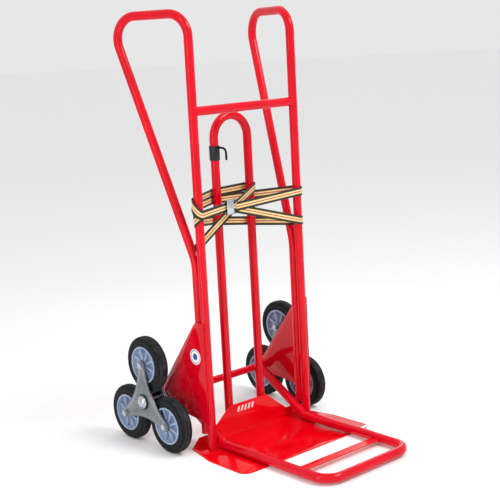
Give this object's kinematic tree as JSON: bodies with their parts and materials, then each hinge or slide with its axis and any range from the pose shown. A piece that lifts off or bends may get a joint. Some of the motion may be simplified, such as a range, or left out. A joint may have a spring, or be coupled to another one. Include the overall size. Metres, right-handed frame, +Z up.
{
  "type": "stair-climbing hand truck",
  "caption": "Tubular hand truck with two handle loops, bent toe plate, folding toe extension, sliding latch hook, webbing strap and a three-wheel star on each side.",
  "frame": {"origin": "underside of the toe plate, midway between the two uprights, on the ground", "axes": "+Z up, -Y towards the toe plate and extension, +Y towards the wheels, +X to the right seen from the front"},
  "size_m": [0.6036, 0.7877, 1.2205],
  "materials": {
    "red_enamel": "glossy stove enamel",
    "tyre_rubber": "matt black rubber",
    "rim_plastic": "light blue-grey moulded plastic",
    "zinc_plate": "zinc-plated pressed sheet",
    "zinc_hardware": "bright zinc plating",
    "chrome": "polished",
    "black_nylon": "moulded nylon",
    "black_plastic": "moulded plastic",
    "black_steel": "black dip coating",
    "webbing": "woven polyester webbing with stripes",
    "label": "plain printed sticker"
  },
  "bodies": {
    "frame": {"left_side_tube": "red_enamel", "right_side_tube": "red_enamel", "top_cross_tube": "red_enamel", "centre_hoop": "red_enamel", "toe_plate": "red_enamel", "left_gusset": "red_enamel", "right_gusset": "red_enamel", "axle_tube": "red_enamel", "axle_shaft": "zinc_hardware", "axle_spacers": "zinc_hardware", "spacer_collars": "zinc_hardware", "hub_caps": "chrome", "gusset_label": "label", "strap": "webbing", "buckle_body": "zinc_hardware"},
    "buckle_lever": {"buckle_lever": "zinc_hardware"},
    "toe_extension": {"extension_frame": "red_enamel", "extension_crossbar": "red_enamel", "extension_sleeves": "red_enamel"},
    "latch": {"latch_sleeve": "black_plastic", "latch_hook": "black_steel"},
    "left_star": {"left_star_outer_plate": "zinc_plate", "left_star_inner_plate": "zinc_plate", "left_star_hub": "zinc_plate", "left_star_bushes": "black_nylon", "left_wheel_bolts": "zinc_hardware", "left_wheel_nuts": "zinc_hardware", "left_wheel_sleeves": "zinc_hardware"},
    "left_top_wheel": {"left_top_tyre": "tyre_rubber", "left_top_rim": "rim_plastic"},
    "left_rear_wheel": {"left_rear_tyre": "tyre_rubber", "left_rear_rim": "rim_plastic"},
    "left_front_wheel": {"left_front_tyre": "tyre_rubber", "left_front_rim": "rim_plastic"},
    "right_star": {"right_star_outer_plate": "zinc_plate", "right_star_inner_plate": "zinc_plate", "right_star_hub": "zinc_plate", "right_star_bushes": "black_nylon", "right_wheel_bolts": "zinc_hardware", "right_wheel_nuts": "zinc_hardware", "right_wheel_sleeves": "zinc_hardware"},
    "right_top_wheel": {"right_top_tyre": "tyre_rubber", "right_top_rim": "rim_plastic"},
    "right_rear_wheel": {"right_rear_tyre": "tyre_rubber", "right_rear_rim": "rim_plastic"},
    "right_front_wheel": {"right_front_tyre": "tyre_rubber", "right_front_rim": "rim_plastic"}
  },
  "joints": [
    {"name": "toe_fold", "type": "hinge", "parent": "frame", "child": "toe_extension", "pos_m": [0, 0.175, 0.1335], "axis": [-1, 0, 0], "range_deg": [0, 88], "deforming": ["strap"]},
    {"name": "latch_slide", "type": "slide", "parent": "frame", "child": "latch", "axis": [0, 0, -1], "range_m": [0, 0.08]},
    {"name": "buckle_cam", "type": "hinge", "parent": "frame", "child": "buckle_lever", "pos_m": [-0.076, -0.014, 0.681], "axis": [0, 0, 1], "range_deg": [0, 70]},
    {"name": "left_star_spin", "type": "hinge", "parent": "frame", "child": "left_star", "pos_m": [-0.2632, 0.175, 0.1335], "axis": [1, 0, 0], "continuous": true},
    {"name": "left_top_wheel_spin", "type": "hinge", "parent": "left_star", "child": "left_top_wheel", "pos_m": [-0.2632, 0.175, 0.2405], "axis": [1, 0, 0], "continuous": true},
    {"name": "left_rear_wheel_spin", "type": "hinge", "parent": "left_star", "child": "left_rear_wheel", "pos_m": [-0.2632, 0.26766, 0.08], "axis": [1, 0, 0], "continuous": true},
    {"name": "left_front_wheel_spin", "type": "hinge", "parent": "left_star", "child": "left_front_wheel", "pos_m": [-0.2632, 0.08234, 0.08], "axis": [1, 0, 0], "continuous": true},
    {"name": "right_star_spin", "type": "hinge", "parent": "frame", "child": "right_star", "pos_m": [0.2632, 0.175, 0.1335], "axis": [1, 0, 0], "continuous": true},
    {"name": "right_top_wheel_spin", "type": "hinge", "parent": "right_star", "child": "right_top_wheel", "pos_m": [0.2632, 0.175, 0.2405], "axis": [1, 0, 0], "continuous": true},
    {"name": "right_rear_wheel_spin", "type": "hinge", "parent": "right_star", "child": "right_rear_wheel", "pos_m": [0.2632, 0.26766, 0.08], "axis": [1, 0, 0], "continuous": true},
    {"name": "right_front_wheel_spin", "type": "hinge", "parent": "right_star", "child": "right_front_wheel", "pos_m": [0.2632, 0.08234, 0.08], "axis": [1, 0, 0], "continuous": true}
  ]
}
